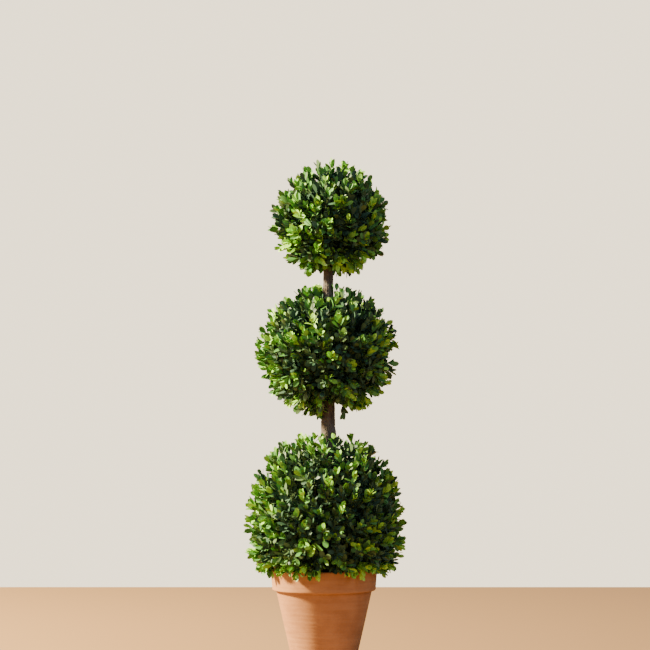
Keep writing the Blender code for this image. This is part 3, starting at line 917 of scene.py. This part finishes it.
def in_front_plane(angle, draw):
    """Directions at these angles round from +X towards +Z, a little off the plane of the sides."""
    depth = draw.normal(0, SPRIG_PLANE_SPREAD, len(angle))
    return unit(np.stack((np.cos(angle), depth, np.sin(angle)), axis=1))


def lifted(way, draw):
    """The way out from the centre, turned up towards the light, more so on the upper half."""
    level = np.hypot(way[:, 0], way[:, 1])[:, None]
    lift = np.interp(way[:, 2:], LIFT_HEIGHTS, LIFT)
    return unit(way + UP * lift * level + draw.normal(0, AXIS_JITTER, way.shape))


def surface_shoots(ball, draw):
    """Shoots that end just under the clipped surface, in clumps, and strays that stand out of it."""
    way = even_cover(ball.shoots, draw, SURFACE_JITTER)
    way = way[above_floor(ball, way, SURFACE_FLOOR)]
    surface = surface_distance(ball, way)
    depth = SURFACE_DEPTH + np.abs(draw.normal(0, SURFACE_SPREAD, len(way)))
    depth = np.maximum(LEAST_DEPTH, depth - SWELL * swells(way * surface[:, None], draw))
    stray = draw.uniform(size=len(way)) < STRAY_SHARE
    depth = np.where(stray, draw.uniform(*STRAY_DEPTH, len(way)), depth)
    return way * (surface - depth)[:, None], lifted(way, draw)


def inner_shoots(ball, draw):
    """Shoots that end well inside and fill the ball."""
    way = even_cover(int(ball.shoots * INNER_SHARE), draw, INNER_JITTER)
    share = draw.uniform(*INNER_REACH, len(way))
    kept = above_floor(ball, way, share)
    way = way[kept]
    reach = surface_distance(ball, way) * share[kept]
    return way * reach[:, None], lifted(way, draw)


def side_sprigs(ball, draw):
    """Single shoots that stand out of the outline seen from the front, leaning towards the upright."""
    place = np.radians(ball.sprigs)
    lean = SPRIG_LEAN * (np.cos(place) + draw.normal(0, SPRIG_LEAN_SPREAD, len(place)))
    way = in_front_plane(place, draw)
    return way * (surface_distance(ball, way) - SPRIG_DEPTH)[:, None], in_front_plane(place + lean, draw)


def slot_sprigs(ball):
    """Single shoots that hang down in the slot under the ball."""
    ends = np.array(ball.slot_sprigs)
    return ends, np.broadcast_to(unit(np.array(SLOT_WAY)), ends.shape)


def ring(around, height, radius, fall, draw):
    """Shoots round the pot, this high over its rim and this far out, that fall so much a step outward."""
    way = ring_points(around, 1, -fall)
    end = ring_points(around, radius, POT_HEIGHT + height)
    return end, unit(way + draw.normal(0, RING_JITTER, way.shape))


def loose_ring(around, heights, radii, falls, draw):
    """The same, with each shoot's own height, radius and fall within these ranges."""
    own = [draw.uniform(*limits, len(around)) for limits in (heights, radii, falls)]
    return ring(around, *own, draw)


def hem(ball, draw):
    """Shoots that cover the pot's rim, a fringe round its outside, and a few that hang over it."""
    count = ball.hem_shoots
    spread = FULL_TURN * (np.arange(count) + draw.uniform(-HEM_TURN, HEM_TURN, count)) / count
    fringe = loose_ring(spread, HEM_HEIGHTS, HEM_RADII, HEM_FALL, draw)
    cushion = loose_ring(spread[::2], CUSHION_HEIGHTS, CUSHION_RADII, CUSHION_FALL, draw)
    hanging = ring(HANGING, HANGING_HEIGHT, HANGING_RADIUS, HANGING_FALL, draw)
    ends, axes = zip(fringe, cushion, hanging)
    return np.concatenate(ends) - UP * ball.centre[2], np.concatenate(axes)


def shoot_ends(ball, draw):
    """Where all shoots of a ball end, measured from its centre, and which way they point."""
    groups = [surface_shoots(ball, draw), inner_shoots(ball, draw), side_sprigs(ball, draw)]
    if ball.hem_shoots:
        groups.append(hem(ball, draw))
    if ball.slot_sprigs:
        groups.append(slot_sprigs(ball))
    ends, axes = zip(*groups)
    return np.concatenate(ends), np.concatenate(axes)


def grow_shoots(ball, twigs, draw):
    """Shoots from the nearest twigs to their ends, kept if clear, and which of them hang in the slot."""
    end, axis = shoot_ends(ball, draw)
    end = end + ball.centre
    twig_ends = twigs[:, -1]
    parent = nearest(end - axis * SHOOT_LENGTH, twig_ends)
    start_way = unit(twigs[parent, -1] - twigs[parent, -2])
    shoots = curves(twig_ends[parent], start_way, end, axis, SHOOT_STATIONS)
    hangs = np.arange(len(shoots)) >= len(shoots) - len(ball.slot_sprigs)
    clear = is_clear(ball, shoots[:, 2:]).all(axis=1)
    clear &= hangs | ~in_slot(ball, shoots).any(axis=1)
    return shoots[clear], hangs[clear]


def points_below_tip(shoots, below):
    """The points this far back along each shoot from its tip, and the shoot's direction there."""
    steps = np.linalg.norm(np.diff(shoots, axis=1), axis=2)
    to_tip = np.cumsum(steps[:, ::-1], axis=1)[:, ::-1]
    from_tip = np.concatenate((to_tip, np.zeros((len(shoots), 1))), axis=1)
    rank = (from_tip[:, None] > below[:, :, None]).sum(axis=2) - 1
    rank = np.clip(rank, 0, shoots.shape[1] - 2)
    number = np.arange(len(shoots))[:, None]
    above = from_tip[number, rank + 1]
    under = from_tip[number, rank]
    share = np.clip((under - below) / np.maximum(under - above, 1e-6), 0, 1)[..., None]
    point = shoots[number, rank] * (1 - share) + shoots[number, rank + 1] * share
    axis = unit(shoots[number, rank + 1] - shoots[number, rank])
    return point, axis, from_tip[:, :1]


def grow_leaves(ball, shoots, draw):
    """Crossed pairs of leaves along each shoot, half open at its tip and wide open below."""
    pair = np.arange(len(OPENINGS))
    spacing = np.interp(pair, (0, 2), PAIR_SPACING)
    steps = np.concatenate(([0.0], np.cumsum(spacing)[:-1]))[None]
    below = steps * draw.uniform(*SPACING_CHANGE, (len(shoots), 1)) + FIRST_PAIR
    point, axis, length_of_shoot = points_below_tip(shoots, below)
    first, second = square_to(axis)
    turn = draw.uniform(0, math.pi, (len(shoots), 1)) + pair * math.pi / 2
    size = np.interp(pair, (0, 1, 2), YOUNG_SIZES)
    shown = below < length_of_shoot - BARE_ROOT
    numbers = np.broadcast_arrays(pair, np.arange(len(shoots))[:, None])
    found = []
    for half in (0, 1):
        around = turn + half * math.pi + draw.uniform(-LEAF_TURN, LEAF_TURN, turn.shape)
        side = first * np.cos(around)[..., None] + second * np.sin(around)[..., None]
        tilt = (OPENINGS + draw.normal(0, OPENING_CHANGE, around.shape))[..., None]
        along = axis * np.cos(tilt) + side * np.sin(tilt)
        face = unit(axis - along * np.sum(axis * along, axis=-1, keepdims=True))
        face = unit(face + square_to(along)[0] * draw.uniform(-LEAF_TWIST, LEAF_TWIST, tilt.shape))
        across = unit(np.cross(along, face))
        length = LEAF_LENGTH * ball.leaf_size * size * draw.uniform(*LEAF_SIZES, around.shape)
        found.append((point + side * LEAF_STAND, along, across, length, *numbers, shown))
    *grown, kept = [np.stack(group, axis=2) for group in zip(*found)]
    return [values[kept] for values in grown]


def leaf_points(base, along, across, length, draw):
    """Leaf blades: rows of three points, as wide as a power of a sine along the leaf, folded at the rib."""
    face = np.cross(across, along)
    count = len(base)
    breadth = length * LEAF_BREADTH * draw.uniform(*LEAF_BREADTHS, count) / 2
    bend = draw.normal(*LEAF_BEND, count)
    fold = draw.normal(*LEAF_FOLD, count)
    share = LEAF_STATIONS[None, :, None]
    side = np.array((-1.0, 0.0, 1.0))[None, None, :]
    width = np.sin(math.pi * share**LEAF_SHOULDER) ** LEAF_FULLNESS * breadth[:, None, None]
    x = side * width
    y = share * length[:, None, None]
    z = (bend * length)[:, None, None] * share**2 + fold[:, None, None] * np.abs(side) * width
    rows = base[:, None, None] + across[:, None, None] * x[..., None] + along[:, None, None] * y[..., None]
    rows = rows + face[:, None, None] * z[..., None]
    tip = base + along * length[:, None] + face * (bend * length)[:, None]
    return np.concatenate((base[:, None], rows.reshape(count, -1, 3), tip[:, None]), axis=1)


def leaf_faces(count):
    """Two triangles at the leaf's base, quads between its rows and two triangles at its tip."""
    rows = len(LEAF_STATIONS)
    tip = rows * 3 + 1
    last = tip - 3
    quads = grid_faces(rows, 3, closed_columns=False) + 1
    ends = np.array(((0, 2, 1), (0, 3, 2), (last, last + 1, tip), (last + 1, last + 2, tip)))
    return [repeated(faces, tip + 1, count) for faces in (quads, ends)]


def clear_leaves(ball, blades, pair, shoot, hangs):
    """Which leaves keep clear, and which shoots stay bare because one of their youngest leaves doesn't."""
    clear = is_clear(ball, blades).all(axis=1)
    clear &= (hangs[shoot] & (pair < SLOT_PAIRS)) | ~in_slot(ball, blades).any(axis=1)
    bare = np.zeros(len(hangs), bool)
    bare[shoot[~clear & (pair <= 1)]] = True
    return clear & ~bare[shoot], bare


def deal_tints(ball, base, pair, shoot, shoot_count, draw):
    """A tint for each leaf: its shoot's own, fresher at the tip, and darker the further it is inside, as
    painted shade.
    """
    names = list(TINTS)
    own = draw.choice(len(names), shoot_count, p=ball.tint_shares)[shoot]
    # painted shade: leaves further inside the ball step down to darker tints
    shade = np.interp(depth_inside(ball, base), SHADE_DEPTHS, (0.0, SHADE_STEPS))
    shade = shade + draw.uniform(-SHADE_SPREAD, SHADE_SPREAD, len(base))
    fresher = (pair <= 1) & (draw.uniform(size=len(base)) < FRESHER_SHARE)
    return np.clip(own - np.round(shade).astype(int) + fresher, 0, len(names) - 1)


def make_ball(ball, number, finishes):
    """One mass of foliage: boughs, branches, twigs, green shoots and leaves in their tints."""
    draw = np.random.default_rng((SEED, number))
    boughs, branches, twigs = grow_wood(ball, draw)
    shoots, hangs = grow_shoots(ball, twigs, draw)
    base, along, across, length, pair, shoot = grow_leaves(ball, shoots, draw)
    blades = leaf_points(base, along, across, length, draw)
    kept, bare = clear_leaves(ball, blades, pair, shoot, hangs)
    blades = blades[kept]
    tint = deal_tints(ball, blades[:, 0], pair[kept], shoot[kept], len(shoots), draw)
    for kind, paths in zip(STEMS, (boughs, branches, twigs, shoots[~bare])):
        root, tip, sides, finish, slot = STEMS[kind]
        points, faces = tubes(paths, root, tip, sides)
        piece(f"{ball.name}_{kind}", points, faces, finishes[finish])
    for index, name in enumerate(TINTS):
        points = blades[tint == index]
        faces = leaf_faces(len(points))
        piece(f"{ball.name}_leaves_{name}", points, faces, finishes[name], ball.name)


def make_stage():
    """A plain pale floor that ends behind the plant."""
    corners = [(x, y, FLOOR_LEVEL) for y in (FLOOR_FRONT, FLOOR_BACK) for x in (-FLOOR_SIDE, FLOOR_SIDE)]
    mesh = bpy.data.meshes.new("floor")
    mesh.from_pydata(corners, [], [(0, 1, 3, 2)])
    mesh.materials.append(plain_finish("floor", FLOOR_COLOUR, roughness=0.6, specular=0.5))
    floor = new_object("floor", mesh)


def make_world():
    """A cream background to look at, and a dimmer even light from all round."""
    world = bpy.data.worlds.new("studio")
    bpy.context.scene.world = world
    world.use_nodes = True
    tree = world.node_tree
    tree.nodes.clear()
    path = tree.nodes.new("ShaderNodeLightPath")
    mix = tree.nodes.new("ShaderNodeMixShader")
    out = tree.nodes.new("ShaderNodeOutputWorld")
    around = (mix.inputs[1], AROUND_COLOUR, AROUND_STRENGTH)
    seen = (mix.inputs[2], SEEN_COLOUR, SEEN_STRENGTH)
    for socket, colour, strength in (around, seen):
        light = tree.nodes.new("ShaderNodeBackground")
        light.inputs["Color"].default_value = (*colour, 1)
        light.inputs["Strength"].default_value = strength
        tree.links.new(light.outputs["Background"], socket)
    tree.links.new(path.outputs["Is Camera Ray"], mix.inputs["Fac"])
    tree.links.new(mix.outputs["Shader"], out.inputs["Surface"])


def make_light(name, azimuth, elevation, distance, size, energy, colour):
    """A soft square light that faces the plant from this side."""
    data = bpy.data.lights.new(name, "AREA")
    data.shape = "SQUARE"
    data.size = size
    data.energy = energy
    data.color = colour
    light = new_object(name, data)
    turn = math.radians(azimuth)
    rise = math.radians(elevation)
    back = Vector((math.sin(turn) * math.cos(rise), -math.cos(turn) * math.cos(rise), math.sin(rise)))
    light.location = Vector((0, 0, LIGHT_AIM)) + back * distance
    light.rotation_euler = (-back).to_track_quat("-Z", "Y").to_euler()
    light.visible_camera = False


def make_camera():
    """A level camera in front, with the photograph's framing."""
    data = bpy.data.cameras.new("camera")
    data.sensor_width = SENSOR_WIDTH
    data.lens = CAMERA_DISTANCE / METRES_PER_PIXEL / IMAGE_PIXELS * SENSOR_WIDTH
    camera = new_object("camera", data)
    camera.location = (CAMERA_X, -CAMERA_DISTANCE, CAMERA_HEIGHT)
    camera.rotation_euler = (math.pi / 2, 0, 0)
    bpy.context.scene.camera = camera


MOTTLE = mottle_group()
draw = np.random.default_rng(SEED)
make_pot(draw)
soil = soil_finish()
make_soil(draw, soil)
make_crumbs(draw, soil)
finishes = plant_finishes()
make_trunk(draw, finishes["bark"])
for number, ball in enumerate(BALLS):
    make_ball(ball, number, finishes)
make_stage()
make_world()
make_light("key", azimuth=-91, elevation=30, distance=5.0, size=0.6, energy=2950, colour=(1.0, 0.85, 0.54))
make_light("fill", azimuth=42, elevation=30, distance=4.0, size=1.6, energy=34, colour=(0.86, 0.96, 1.30))
make_camera()
